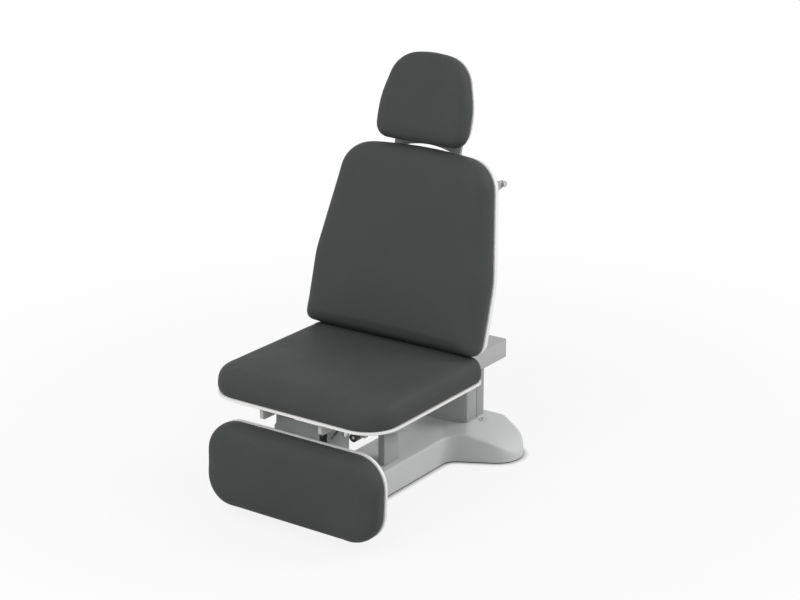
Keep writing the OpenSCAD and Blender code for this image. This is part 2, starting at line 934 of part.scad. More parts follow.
module foot_actuator() {
    rear = foot_tube_y + foot_tube_l;
    color("#232425") {
        drive_tube(foot_rod_x, foot_rod_z, foot_tube_y, foot_tube_l, [foot_tube_y + saddle_in, rear - saddle_in])
            bar_y(foot_tube_y - over, foot_tube_l - foot_tube_end, foot_rod_x, foot_rod_z, rod_r);
        box([foot_rod_x - drive_tube_r, rear, beam_bottom + beam_wall],
            [foot_rod_x + drive_tube_r, rear + gearbox_l, foot_rod_z + drive_tube_r]);
    }
}

module back_actuator() {
    color("#232425") {
        drive_tube(back_rod_x, back_rod_z, back_tube_y, back_tube_l, [back_tube_y + saddle_w])
            bar_y(back_tube_y + foot_tube_end, back_tube_l, back_rod_x, back_rod_z, rod_r);
        box([back_rod_x - drive_tube_r, back_tube_y - back_gear_l, beam_bottom + beam_wall],
            [back_rod_x + drive_tube_r, back_tube_y, frame_base - gear_gap]);
    }
}

module socket_bracket() {
    far = socket_x + bracket_reach;
    color("#d3d4d2") difference() {
        union() {
            box([far - bracket_wall, socket_y, socket_z], [far, socket_y + 2 * bracket_half, seat_h]);
            box([socket_x, socket_y, socket_z], [far, socket_y + 2 * bracket_half, socket_z + bracket_wall]);
        }
        bar_y(socket_y - over, 2 * (bracket_half + over), socket_x, socket_z, socket_r);
    }
}

module control_socket() {
    color("#1f2021") difference() {
        bar_y(socket_y - socket_l / 2, socket_l, socket_x, socket_z, socket_r);
        bar_y(socket_y - socket_l / 2 - over, socket_dot_deep + over, socket_x, socket_z, socket_dot_r);
    }
}

// Pin place and cheek corners of the foot carrier in its own plane
foot_pin_d = foot_axis_d + foot_crank * sin(foot_crank_a + foot_tilt);
foot_pin_s = foot_axis_s - foot_crank * cos(foot_crank_a + foot_tilt);
function swing_s(d) = axis_below(swing_r, d - foot_axis_d);
function axis_below(r, d) = foot_axis_s - sqrt(r * r - d * d);

module foot_carrier() {
    cheek = [
        [foot_back, arm_low],
        [foot_back + cheek_step, arm_low],
        [foot_axis_d + cheek_deep, foot_axis_s - swing_r - cheek_drop],
        [foot_axis_d + cheek_deep, foot_axis_s - cheek_top_in],
        [foot_axis_d + cheek_mid, swing_s(foot_axis_d + cheek_mid)],
        [foot_back, swing_s(foot_back)]
    ];
    arm = [
        [foot_back, arm_low],
        [foot_back + arm_deep, arm_low],
        [foot_back + arm_deep, foot_axis_s - hat_rise - hub_r],
        [foot_axis_d + hub_r, foot_axis_s],
        [foot_axis_d, foot_axis_s],
        [foot_back, foot_axis_s - arm_shoulder]
    ];
    rib = [
        [foot_back, foot_axis_s - 2 * swing_r],
        [foot_pin_d + crank_boss_r, foot_pin_s],
        [foot_pin_d, foot_pin_s + crank_boss_r],
        [foot_back, foot_axis_s - arm_shoulder]
    ];
    color("#8b8e8e") in_foot() difference() {
        union() {
            for (x = [arm_in, -arm_out]) side_plate(x, arm_out - arm_in, arm);
            for (x = [arm_out, -cheek_out]) side_plate(x, cheek_out - arm_out, cheek);
            bar_x(-arm_out, 2 * arm_out, foot_axis_d, foot_axis_s, hub_r);
            box([-arm_in, foot_back, arm_low], [web_right, foot_back + web_t, foot_axis_s - arm_shoulder]);
            box([-cheek_out, foot_back, arm_low], [cheek_out, foot_back + web_t, web_notch_s]);
            side_plate(foot_rib_x - crank_rib_t, crank_rib_t, rib);
            for (x = [foot_rib_x - crank_rib_t, arm_out])
                bar_x(x, crank_rib_t, foot_pin_d, foot_pin_s, crank_boss_r);
        }
        bar_x(-cheek_out, 2 * cheek_out, foot_axis_d, foot_axis_s, pin_r + fit);
        bar_x(0, cheek_out + over, foot_pin_d, foot_pin_s, crank_pin_r + fit);
    }
}

// Crank pin with a collar at each end
module crank_pin(x0, x1) {
    union() {
        bar_x(x0, x1 - x0, 0, 0, crank_pin_r);
        for (x = [x0 - pin_collar, x1]) bar_x(x, pin_collar, 0, 0, crank_pin_r + pin_collar);
    }
}

module foot_crank_pin() {
    color("#9b9e9f") in_foot() translate([0, foot_pin_d, foot_pin_s])
        crank_pin(foot_rib_x - crank_rib_t, cheek_out);
}

module foot_shell() {
    color("#e3e4e2") in_foot() facing(foot_back) tray(foot_outline, foot_shell_t, foot_shell_t / 2);
}

module foot_screws() {
    color("#6d7071") in_foot() for (x = [-screw_x, screw_x], s = [arm_low + screw_in, web_notch_s - screw_in])
        translate([x, foot_back + web_t, s]) rotate([-90, 0, 0]) cylinder(h = screw_h, r = screw_r);
}

module foot_cushion() {
    color("#4c4e4d") in_foot() facing(foot_t) pad(foot_outline, foot_t, foot_crown);
}

module foot_rod() {
    y = foot_pin_y + rod_head_d / 2;
    color("#c9cbcc") bar_y(y, foot_tube_y + foot_tube_l - 2 * foot_tube_end - y, foot_rod_x, foot_rod_z, rod_r - fit);
}

module foot_rod_head() {
    low = foot_pivot_z - foot_crank - crank_pin_r - slot_play;
    high = foot_pivot_z - foot_crank * cos(foot_range - foot_crank_a) + crank_pin_r + slot_play;
    color("#1f2021") slotted_head(foot_rod_x, foot_head_half, foot_pin_y,
        [foot_rod_z - foot_head_down, foot_rod_z + foot_head_up], [low, high]);
}

module back_rod_head() {
    low = back_pivot_z - back_crank - crank_pin_r - slot_play;
    high = back_pin_z + crank_pin_r + slot_play;
    color("#1f2021") slotted_head(back_rod_x, back_head_half, back_pin_y,
        [back_rod_z - back_head_down, back_rod_z + back_head_up], [low, high]);
}

// Slotted head of a drive rod: the crank pin rises and falls in the slot
module slotted_head(x, half, y, zs, slot) {
    r = rail_nose_r;
    w = crank_pin_r + slot_play;
    difference() {
        side_plate(x - half, 2 * half, rounded([
            [y - rod_head_d / 2, zs[0], r],
            [y + rod_head_d / 2, zs[0], r],
            [y + rod_head_d / 2, zs[1], r],
            [y - rod_head_d / 2, zs[1], r]
        ]));
        box([x - half - over, y - w, slot[0]], [x + half + over, y + w, slot[1]]);
    }
}

module back_rod() {
    y0 = back_tube_y + back_tube_l - back_rod_in;
    color("#c9cbcc") bar_y(y0, back_pin_y - rod_head_d / 2 - y0, back_rod_x, back_rod_z, rod_r - fit);
}

module back_frame() {
    p = [back_pivot_y, back_pivot_z];
    c = [back_pin_y, back_pin_z];
    // Where the rear face of the shell comes clear of the seat's rear edge
    free_y = seat_rear_y + arm_clear;
    free = back_world(back_rear, (free_y - back_world(back_rear, 0)[0]) / sin(back_recline));
    foot_w1 = back_world(back_rear + upright_d, upright_s[0]);
    head_w0 = back_world(back_rear, cross_s[0]);
    head_w1 = back_world(back_rear + upright_d, cross_s[0]);
    arm = [
        p + back_hub_r * [cos(arm_under), -sin(arm_under)],
        foot_w1,
        head_w1,
        head_w0,
        free,
        [free_y, p[1] + back_hub_r],
        p + back_hub_r * [-cos(arm_under), sin(arm_under)]
    ];
    ribs = [back_rib_x - back_rib_t, back_rod_x + back_head_half + head_play];
    color("#9a9d9d") difference() {
        union() {
            bar_x(-arm_out, 2 * arm_out, p[0], p[1], back_hub_r);
            for (x = [upright_x - back_arm_t / 2, -upright_x - back_arm_t / 2]) side_plate(x, back_arm_t, arm);
            for (x = ribs) {
                side_plate(x, back_rib_t, link(p, back_hub_r, c, back_crank_boss_r));
                bar_x(x, back_rib_t, c[0], c[1], back_crank_boss_r);
            }
            in_back() for (x = [-upright_x, upright_x]) difference() {
                box([x - upright_w / 2, back_rear, upright_s[0]],
                    [x + upright_w / 2, back_rear + upright_d, upright_s[1]]);
                box([x - upright_w / 2 + upright_wall, back_rear + upright_wall, upright_s[0] + cross_bar_h],
                    [x + upright_w / 2 - upright_wall, back_rear + upright_d - upright_wall, upright_s[1] + over]);
            }
            in_back() for (s = cross_s)
                box([-upright_x, back_rear, s], [upright_x, back_rear + bar_t, s + cross_bar_h]);
        }
        bar_x(-rail_out, 2 * rail_out, p[0], p[1], back_pin_r + fit);
        bar_x(ribs[0] - over, ribs[1] - ribs[0] + back_rib_t + 2 * over, c[0], c[1], crank_pin_r + fit);
    }
}
// Side view place of a point of the back's plane
function back_world(d, s) = [
    back_y + d * cos(back_recline) + s * sin(back_recline),
    back_z - d * sin(back_recline) + s * cos(back_recline)
];

module back_crank_pin() {
    color("#9b9e9f") translate([0, back_pin_y, back_pin_z])
        crank_pin(back_rib_x - back_rib_t, back_rod_x + back_head_half + head_play + back_rib_t);
}

module back_shell() {
    color("#e3e4e2") in_back() difference() {
        facing(back_rear) tray(back_outline, back_shell_t, shell_roll);
        facing(back_rear - shell_wall) linear_extrude(back_shell_t) polygon(inset(back_outline, shell_rim));
        for (side = [-1, 1]) leg_slot(side, back_l - 2 * shell_rim - back_arch, back_l + over);
    }
}
// Clear way for one post of the headrest
module leg_slot(side, s0, s1) {
    x0 = side > 0 ? leg_in : -leg_out;
    box([x0 - guide_gap, leg_d - guide_gap, s0], [x0 + leg_out - leg_in + guide_gap, leg_d + leg_t + guide_gap, s1]);
}

module back_screws() {
    color("#6d7071") in_back() for (x = [-screw_x, screw_x], s = cross_s)
        translate([x, back_rear + bar_t, s + cross_bar_h / 2]) rotate([-90, 0, 0]) cylinder(h = screw_h, r = screw_r);
}

module back_cushion() {
    color("#4c4e4d") in_back() facing(back_t) pad(back_outline, back_t, back_crown);
}

module head_guides() {
    s1 = back_l - back_arch - shell_rim - guide_top_in;
    color("#3a3c3d") in_back() for (side = [-1, 1]) difference() {
        x = side * (leg_in + leg_out) / 2;
        w = (leg_out - leg_in) / 2 + guide_wall;
        box([x - w, back_t + guide_step, s1 - guide_l], [x + w, back_rear - shell_wall, s1]);
        leg_slot(side, s1 - guide_l - over, s1 + over);
    }
}

module roll_brackets() {
    d0 = back_rear;
    axle_d = back_rear + rod_out;
    strap = rounded([
        [d0, rod_s - strap_l, 0],
        [d0 + strap_off, rod_s - strap_l + strap_w, strap_w],
        [d0 + strap_off + strap_w / 2, rod_s - strap_bend, strap_w],
        [axle_d + strap_w, rod_s - strap_w, strap_r],
        [axle_d + strap_w, rod_s + strap_w, strap_r],
        [axle_d - strap_w, rod_s + strap_top, strap_r],
        [d0, rod_s - strap_end, 0]
    ]);
    eye = [
        [d0 - over, rod_s - strap_l + slot_low],
        [d0 + strap_off - slot_half, rod_s - strap_l + slot_bend],
        [d0 + strap_off - slot_half, rod_s - strap_bend],
        [d0 - over, rod_s - slot_end]
    ];
    color("#d9dad8") in_back() for (x = [roll_x - bracket_t / 2, -roll_x - bracket_t / 2]) difference() {
        side_plate(x, bracket_t, strap);
        side_plate(x - over, bracket_t + 2 * over, eye);
        bar_x(x - over, bracket_t + 2 * over, axle_d, rod_s, roll_rod_r + fit);
    }
}

module roll_rod() {
    half = roll_x + bracket_t / 2 + guide_gap;
    color("#c9cbcc") in_back() union() {
        bar_x(-half, 2 * half, back_rear + rod_out, rod_s, roll_rod_r);
        for (x = [half, -half - roll_end]) bar_x(x, roll_end, back_rear + rod_out, rod_s, roll_collar_r);
    }
}

module head_yoke() {
    s0 = back_l - leg_drop;
    arch = [for (k = [0 : sweep_n]) let (u = 2 * k / sweep_n - 1) [u * leg_in, head_s - arch_below + arch_rise * (1 - u * u)]];
    color("#c3c5c5") in_back() difference() {
        union() {
            for (x = [leg_in, -leg_out]) {
                box([x, leg_d, s0], [x + leg_out - leg_in, leg_d + leg_t, head_pin_s]);
                bar_x(x, leg_out - leg_in, head_pin_d, head_pin_s, head_boss_r);
            }
            facing(leg_d + leg_t) linear_extrude(leg_t)
                polygon(concat(arch, [for (k = [sweep_n : -1 : 0]) arch[k] - [0, arch_t]]));
        }
        bar_x(-leg_out - over, 2 * (leg_out + over), head_pin_d, head_pin_s, head_pin_r + fit);
    }
}

module head_pin() {
    color("#8d9091") in_back() union() {
        bar_x(-leg_out, 2 * leg_out, head_pin_d, head_pin_s, head_pin_r);
        for (x = [leg_out, -leg_out - pin_collar]) bar_x(x, pin_collar, head_pin_d, head_pin_s, head_pin_r + pin_collar);
    }
}

module head_hinge() {
    color("#8b8e8e") in_back() difference() {
        union() {
            bar_x(-knuckle_out, 2 * knuckle_out, head_pin_d, head_pin_s, knuckle_r);
            box([-knuckle_out, head_back, head_pin_s - knuckle_r / 2],
                [knuckle_out, head_pin_d, head_pin_s + knuckle_r / 2]);
            box([-knuckle_out, head_back, head_pin_s - knuckle_r / 2],
                [knuckle_out, head_back + hinge_plate_t, head_pin_s + hinge_up]);
        }
        bar_x(-knuckle_out - over, 2 * (knuckle_out + over), head_pin_d, head_pin_s, head_pin_r + fit);
    }
}

module head_shell() {
    color("#e3e4e2") in_back() facing(head_back) tray(head_outline, head_shell_t, head_roll);
}

module head_cushion() {
    color("#4c4e4d") in_back() facing(head_t) pad(head_outline, head_t, head_crown);
}

floor_pad();
base_plate();
base_cover();
cover_plugs();
power_inlet();
rest_post();
post_cap();
column_outer();
outer_glides();
lift_motor();
lift_tube();
column_middle();
middle_glides();
lift_sleeve();
column_inner();
lift_rod();
chassis();
chassis_hood();
chassis_bolts();
landing_block();
seat_frame();
seat_pan();
seat_cushion();
foot_pin();
back_pin();
foot_actuator();
back_actuator();
socket_bracket();
control_socket();
foot_carrier();
foot_crank_pin();
foot_shell();
foot_screws();
foot_cushion();
foot_rod();
foot_rod_head();
back_frame();
back_crank_pin();
back_shell();
back_screws();
back_cushion();
head_guides();
roll_brackets();
roll_rod();
back_rod();
back_rod_head();
head_yoke();
head_pin();
head_hinge();
head_shell();
head_cushion();
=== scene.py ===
# Procedure chair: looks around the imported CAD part, metres, +Z up, the chair faces -Y
import json
import math

import bmesh
import bpy
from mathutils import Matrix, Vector
from mathutils.bvhtree import BVHTree

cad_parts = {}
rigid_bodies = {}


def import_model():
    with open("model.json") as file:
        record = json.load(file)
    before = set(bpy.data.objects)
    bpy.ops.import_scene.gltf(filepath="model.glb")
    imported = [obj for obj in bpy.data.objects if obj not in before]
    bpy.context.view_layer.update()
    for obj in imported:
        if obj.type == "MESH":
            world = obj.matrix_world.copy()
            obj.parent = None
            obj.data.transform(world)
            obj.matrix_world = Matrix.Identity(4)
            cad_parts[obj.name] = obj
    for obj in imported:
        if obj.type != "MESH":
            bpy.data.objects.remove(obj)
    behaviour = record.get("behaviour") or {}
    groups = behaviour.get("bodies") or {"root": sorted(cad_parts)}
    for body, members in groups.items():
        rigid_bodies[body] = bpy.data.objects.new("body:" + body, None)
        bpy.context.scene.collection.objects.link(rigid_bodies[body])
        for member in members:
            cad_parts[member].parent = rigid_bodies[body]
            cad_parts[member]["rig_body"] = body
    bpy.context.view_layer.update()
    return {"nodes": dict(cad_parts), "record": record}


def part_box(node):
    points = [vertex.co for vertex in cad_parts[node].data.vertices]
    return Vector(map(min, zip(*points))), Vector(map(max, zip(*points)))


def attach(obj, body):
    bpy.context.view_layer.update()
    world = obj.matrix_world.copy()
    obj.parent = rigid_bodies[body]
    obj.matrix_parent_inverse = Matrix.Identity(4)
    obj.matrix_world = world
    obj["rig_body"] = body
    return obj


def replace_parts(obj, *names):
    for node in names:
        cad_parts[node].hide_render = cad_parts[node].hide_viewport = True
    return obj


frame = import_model()
nodes = frame["nodes"]
print("frame loaded:", len(nodes), "nodes")


# Camera at the photograph's viewing angle
cameraSet = {
    "place": (3.2224, -4.8848, 2.4507),
    "tilt": 71.37,  # degrees from straight down
    "turn": 34.97,  # degrees round the vertical
    "lens": 88.59,
    "sensor": 36.0,
}


def addCamera(c):
    bpy.ops.object.camera_add(
        location=c["place"],
        rotation=(math.radians(c["tilt"]), 0, math.radians(c["turn"])),
    )
    cam = bpy.context.object
    cam.name = "camera"
    cam.data.lens = c["lens"]
    cam.data.sensor_width = c["sensor"]
    bpy.context.scene.camera = cam


addCamera(cameraSet)
print("camera placed")


# Node helpers shared by all the materials
def newMaterial(name):
    mat = bpy.data.materials.new(name)
    mat.use_nodes = True
    tree = mat.node_tree
    tree.nodes.clear()
    out = tree.nodes.new("ShaderNodeOutputMaterial")
    shader = tree.nodes.new("ShaderNodeBsdfPrincipled")
    tree.links.new(shader.outputs["BSDF"], out.inputs["Surface"])
    return mat, tree, shader


def groupSocket(tree, name, way, kind, value=None):
    s = tree.interface.new_socket(name=name, in_out=way, socket_type=kind)
    if value is not None:
        s.default_value = value


# Fine grain: a pebbled skin from small cells over a softer swell, as height and mask
def buildGrainGroup():
    g = bpy.data.node_groups.new("skinGrain", "ShaderNodeTree")
    groupSocket(g, "Cells", "INPUT", "NodeSocketFloat", 900.0)
    groupSocket(g, "Swell", "INPUT", "NodeSocketFloat", 60.0)
    groupSocket(g, "Swell share", "INPUT", "NodeSocketFloat", 0.3)
    groupSocket(g, "Height", "OUTPUT", "NodeSocketFloat")
    n, k = g.nodes, g.links
    inp, out = n.new("NodeGroupInput"), n.new("NodeGroupOutput")
    place = n.new("ShaderNodeTexCoord")
    cells = n.new("ShaderNodeTexVoronoi")
    cells.feature = "SMOOTH_F1"
    swell = n.new("ShaderNodeTexNoise")
    swell.inputs["Detail"].default_value = 3.0
    mix = n.new("ShaderNodeMix")
    k.new(place.outputs["Object"], cells.inputs["Vector"])
    k.new(place.outputs["Object"], swell.inputs["Vector"])
    k.new(inp.outputs["Cells"], cells.inputs["Scale"])
    k.new(inp.outputs["Swell"], swell.inputs["Scale"])
    k.new(inp.outputs["Swell share"], mix.inputs["Factor"])
    k.new(cells.outputs["Distance"], mix.inputs["A"])
    k.new(swell.outputs["Fac"], mix.inputs["B"])
    k.new(mix.outputs["Result"], out.inputs["Height"])
    return g


# Handling marks: patches where the finish is a little paler or duller
def buildPatchGroup():
    g = bpy.data.node_groups.new("handledPatches", "ShaderNodeTree")
    groupSocket(g, "Scale", "INPUT", "NodeSocketFloat", 6.0)
    groupSocket(g, "Low", "INPUT", "NodeSocketFloat", 0.0)
    groupSocket(g, "High", "INPUT", "NodeSocketFloat", 1.0)
    groupSocket(g, "Amount", "OUTPUT", "NodeSocketFloat")
    n, k = g.nodes, g.links
    inp, out = n.new("NodeGroupInput"), n.new("NodeGroupOutput")
    place = n.new("ShaderNodeTexCoord")
    cloud = n.new("ShaderNodeTexNoise")
    cloud.inputs["Detail"].default_value = 5.0
    cloud.inputs["Roughness"].default_value = 0.6
    spread = n.new("ShaderNodeMapRange")
    spread.inputs["From Min"].default_value = 0.32
    spread.inputs["From Max"].default_value = 0.68
    k.new(place.outputs["Object"], cloud.inputs["Vector"])
    k.new(inp.outputs["Scale"], cloud.inputs["Scale"])
    k.new(cloud.outputs["Fac"], spread.inputs["Value"])
    k.new(inp.outputs["Low"], spread.inputs["To Min"])
    k.new(inp.outputs["High"], spread.inputs["To Max"])
    k.new(spread.outputs["Result"], out.inputs["Amount"])
    return g


# Drawn metal: lines along one way of the piece, as height
def buildDrawnGroup():
    g = bpy.data.node_groups.new("drawnLines", "ShaderNodeTree")
    groupSocket(g, "Stretch", "INPUT", "NodeSocketVector", (8.0, 900.0, 900.0))
    groupSocket(g, "Height", "OUTPUT", "NodeSocketFloat")
    n, k = g.nodes, g.links
    inp, out = n.new("NodeGroupInput"), n.new("NodeGroupOutput")
    place = n.new("ShaderNodeTexCoord")
    scale = n.new("ShaderNodeVectorMath")
    scale.operation = "MULTIPLY"
    lines = n.new("ShaderNodeTexNoise")
    lines.inputs["Scale"].default_value = 1.0
    lines.inputs["Detail"].default_value = 2.0
    k.new(place.outputs["Object"], scale.inputs[0])
    k.new(inp.outputs["Stretch"], scale.inputs[1])
    k.new(scale.outputs["Vector"], lines.inputs["Vector"])
    k.new(lines.outputs["Fac"], out.inputs["Height"])
    return g


grainGroup = buildGrainGroup()
patchGroup = buildPatchGroup()
drawnGroup = buildDrawnGroup()


def placeGroup(tree, group, **values):
    n = tree.nodes.new("ShaderNodeGroup")
    n.node_tree = group
    for name, value in values.items():
        n.inputs[name.replace("_", " ")].default_value = value
    return n


wearFiner = 2.7  # patches of roughness are this much finer than those of colour


# One finish: two near colours in patches, varied roughness, grain bump over rounded edges
def makeFinish(name, f):
    mat, tree, shader = newMaterial(name)
    n, k = tree.nodes, tree.links
    tint = placeGroup(tree, patchGroup, Scale=f["patch"], Low=0.0, High=1.0)
    colour = n.new("ShaderNodeMix")
    colour.data_type = "RGBA"
    colour.inputs["A"].default_value = (*f["colour"], 1)
    colour.inputs["B"].default_value = (*[c * f["tone"] for c in f["colour"]], 1)
    k.new(tint.outputs["Amount"], colour.inputs["Factor"])
    k.new(colour.outputs["Result"], shader.inputs["Base Color"])
    smoothest, roughest = f["rough"]
    rough = placeGroup(
        tree, patchGroup, Scale=f["patch"] * wearFiner, Low=smoothest, High=roughest
    )
    k.new(rough.outputs["Amount"], shader.inputs["Roughness"])
    if "drawn" in f:
        height = placeGroup(tree, drawnGroup, Stretch=f["drawn"])
    else:
        height = placeGroup(
            tree, grainGroup, Cells=f["cells"], Swell=f["swell"], Swell_share=f["swellShare"]
        )
    bump = n.new("ShaderNodeBump")
    bump.inputs["Strength"].default_value = f["bump"]
    bump.inputs["Distance"].default_value = f["depth"]
    k.new(height.outputs["Height"], bump.inputs["Height"])
    if f.get("edge"):
        edge = n.new("ShaderNodeBevel")
        edge.samples = 4
        edge.inputs["Radius"].default_value = f["edge"]
        k.new(edge.outputs["Normal"], bump.inputs["Normal"])
    k.new(bump.outputs["Normal"], shader.inputs["Normal"])
    shader.inputs["Metallic"].default_value = f.get("metal", 0.0)
    shader.inputs["IOR"].default_value = f.get("ior", 1.5)
    return mat


finishes = {
    "charcoalVinyl": {
        "colour": (0.068, 0.0716, 0.0702), "tone": 0.93, "patch": 4.0, "rough": (0.52, 0.60),
        "cells": 1100.0, "swell": 240.0, "swellShare": 0.35, "bump": 0.10, "depth": 0.0004,
        "ior": 1.16,
    },
    "ivoryShell": {
        "colour": (0.88, 0.88, 0.865), "tone": 0.965, "patch": 7.0, "rough": (0.36, 0.46),
        "cells": 1500.0, "swell": 300.0, "swellShare": 0.5, "bump": 0.05, "depth": 0.0003,
        "edge": 0.0015,
    },
    "coverPlastic": {
        "colour": (0.62, 0.632, 0.628), "tone": 0.95, "patch": 5.0, "rough": (0.44, 0.56),
        "cells": 1300.0, "swell": 260.0, "swellShare": 0.5, "bump": 0.10, "depth": 0.0003,
        "ior": 1.42,
    },
    "blackPlastic": {
        "colour": (0.016, 0.016, 0.017), "tone": 1.5, "patch": 18.0, "rough": (0.36, 0.5),
        "cells": 1600.0, "swell": 300.0, "swellShare": 0.4, "bump": 0.12, "depth": 0.0003,
        "edge": 0.0012,
    },
    "lightPaint": {
        "colour": (0.50, 0.505, 0.50), "tone": 0.95, "patch": 6.0, "rough": (0.48, 0.58),
        "cells": 700.0, "swell": 420.0, "swellShare": 0.75, "bump": 0.08, "depth": 0.0004,
        "edge": 0.0015,
        "ior": 1.14,
    },
    "greyPaint": {
        "colour": (0.29, 0.298, 0.298), "tone": 0.9, "patch": 9.0, "rough": (0.38, 0.5),
        "cells": 800.0, "swell": 420.0, "swellShare": 0.7, "bump": 0.12, "depth": 0.0004,
        "edge": 0.0012,
    },
    # the column's own colour, set a little darker so that the landing block, rest post and head
    # yoke carry painted shade
    "columnCoatAndShade": {
        "colour": (0.35, 0.355, 0.355), "tone": 0.95, "patch": 5.0, "rough": (0.40, 0.50),
        "cells": 900.0, "swell": 500.0, "swellShare": 0.7, "bump": 0.08, "depth": 0.0003,
        "edge": 0.0015,
    },
    "drawnSteel": {
        "colour": (0.56, 0.57, 0.58), "tone": 0.85, "patch": 20.0, "rough": (0.22, 0.36),
        "drawn": (14.0, 900.0, 900.0), "bump": 0.12, "depth": 0.0002, "edge": 0.0008, "metal": 1.0,
    },
    "footRubber": {
        "colour": (0.022, 0.022, 0.023), "tone": 1.4, "patch": 22.0, "rough": (0.62, 0.8),
        "cells": 1000.0, "swell": 200.0, "swellShare": 0.5, "bump": 0.2, "depth": 0.0004,
        "edge": 0.0015,
    },
}
materials = {name: makeFinish(name, f) for name, f in finishes.items()}
slotFinish = {
    "vinyl": "charcoalVinyl", "shell_plastic": "ivoryShell", "cover_plastic": "coverPlastic",
    "black_plastic": "blackPlastic", "light_paint": "lightPaint", "grey_paint": "greyPaint",
    "column_paint": "columnCoatAndShade", "steel": "drawnSteel", "rubber": "footRubber",
}
slotOfNode = {s["node"]: s["material_slot"] for s in frame["record"]["subparts"]}


def dress(obj, finish):
    obj.data.materials.clear()
    obj.data.materials.append(materials[finish])


for name, obj in nodes.items():
    dress(obj, slotFinish[slotOfNode[name]])
print("finishes made:", len(materials))


# Small tools for working on a mesh
mendGap = 0.00002  # metres between corners that are taken as one
turnedAngle = 35  # degrees that a small turned piece is smoothed over


def smoothOver(degrees):
    bpy.ops.object.shade_smooth_by_angle(angle=math.radians(degrees))


def only(obj):
    if bpy.context.object and bpy.context.object.mode != "OBJECT":
        bpy.ops.object.mode_set(mode="OBJECT")
    bpy.ops.object.select_all(action="DESELECT")
    obj.select_set(True)
    bpy.context.view_layer.objects.active = obj


def applyAll(obj):
    only(obj)
    for m in list(obj.modifiers):
        bpy.ops.object.modifier_apply(modifier=m.name)


def bodyOf(node):
    return nodes[node]["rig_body"]


# A copy of a CAD node with its loose triangles merged
def copyOfNode(node, name):
    obj = bpy.data.objects.new(name, nodes[node].data.copy())
    bpy.context.scene.collection.objects.link(obj)
    only(obj)
    bpy.ops.object.mode_set(mode="EDIT")
    bpy.ops.mesh.select_all(action="SELECT")
    bpy.ops.mesh.remove_doubles(threshold=mendGap)
    bpy.ops.object.mode_set(mode="OBJECT")
    return obj


def settle(obj, node, slotName=None):
    dress(obj, slotFinish[slotName or slotOfNode[node]])
    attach(obj, bodyOf(node))
    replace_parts(obj, node)


# Rigid mouldings: the CAD form with its flats joined, its edges rounded and its curves smoothed
mouldings = {
    "chassis_hood": {"edge": 0.003, "steps": 3, "angle": 40},
    # painted shade: the landing block, rest post and head yoke take the darker column finish in
    # place of their own, for the shade they stand in
    "landing_block": {"edge": 0.003, "steps": 3, "angle": 40, "slot": "column_paint"},
    "seat_pan": {"edge": 0.0018, "steps": 3, "angle": 50},
    "column_outer": {"edge": 0.0012, "steps": 2, "angle": 50},
    "foot_shell": {"edge": 0.001, "steps": 2, "angle": 50},
    "back_shell": {"edge": 0.001, "steps": 2, "angle": 50},
    "head_shell": {"edge": 0.001, "steps": 2, "angle": 50},
    # painted shade, as for the landing block
    "rest_post": {"edge": 0.0015, "steps": 2, "angle": 50, "slot": "column_paint"},
    "foot_carrier": {"edge": 0.001, "steps": 2, "angle": 50},
    # painted shade, as for the landing block
    "head_yoke": {"edge": 0.0015, "steps": 2, "angle": 50, "slot": "column_paint"},
    "roll_brackets": {"edge": 0.0006, "steps": 2, "angle": 50},
}
mouldSet = {"flat": 0.6, "smooth": 32}  # degrees: faces joined as flat, and smoothed over


def finishMoulding(node, m):
    obj = copyOfNode(node, node + "_moulded")
    flat = obj.modifiers.new("flat", "DECIMATE")
    flat.decimate_type = "DISSOLVE"
    flat.angle_limit = math.radians(mouldSet["flat"])
    edge = obj.modifiers.new("edge", "BEVEL")
    edge.width = m["edge"]
    edge.segments = m["steps"]
    edge.limit_method = "ANGLE"
    edge.angle_limit = math.radians(m["angle"])
    edge.use_clamp_overlap = True
    edge.harden_normals = False
    applyAll(obj)
    smoothOver(mouldSet["smooth"])
    settle(obj, node, m.get("slot"))


for node, m in mouldings.items():
    finishMoulding(node, m)
    print("moulding:", node, len(nodes[node].data.polygons))


# Base cover: the CAD form evened out and softened like a moulding, hollow, with its cut-outs
coverSet = {
    "voxel": 0.005, "soften": 14, "bodyShare": 0.3, "bodyHalf": 0.1, "blend": 0.07,
    "wall": 0.004, "down": 0.02, "gap": 0.0006, "angle": 30,
    "past": 0.002, "rim": 0.001, "deepCut": 0.05, "plugCut": 0.02,
}
outerSet = {"under": -0.2, "off": 0.0002}  # faces that look down go, rays start off the face


def selectVerts(obj, wanted):
    bpy.ops.object.mode_set(mode="EDIT")
    bpy.ops.mesh.select_mode(type="VERT")
    bpy.ops.mesh.select_all(action="DESELECT")
    bm = bmesh.from_edit_mesh(obj.data)
    for v in bm.verts:
        v.select = wanted(v)
    bm.select_flush_mode()
    bmesh.update_edit_mesh(obj.data)


# Leaves only the faces that look out of the form
def keepOuter(obj):
    tree = BVHTree.FromObject(obj, bpy.context.evaluated_depsgraph_get())
    bpy.ops.object.mode_set(mode="EDIT")
    bpy.ops.mesh.select_mode(type="FACE")
    bpy.ops.mesh.select_all(action="DESELECT")
    bm = bmesh.from_edit_mesh(obj.data)
    for f in bm.faces:
        start = f.calc_center_median() + f.normal * outerSet["off"]
        covered = tree.ray_cast(start, f.normal)[0] is not None
        f.select = f.normal.z < outerSet["under"] or covered
    bmesh.update_edit_mesh(obj.data)
    bpy.ops.mesh.delete(type="FACE")
    bpy.ops.object.mode_set(mode="OBJECT")


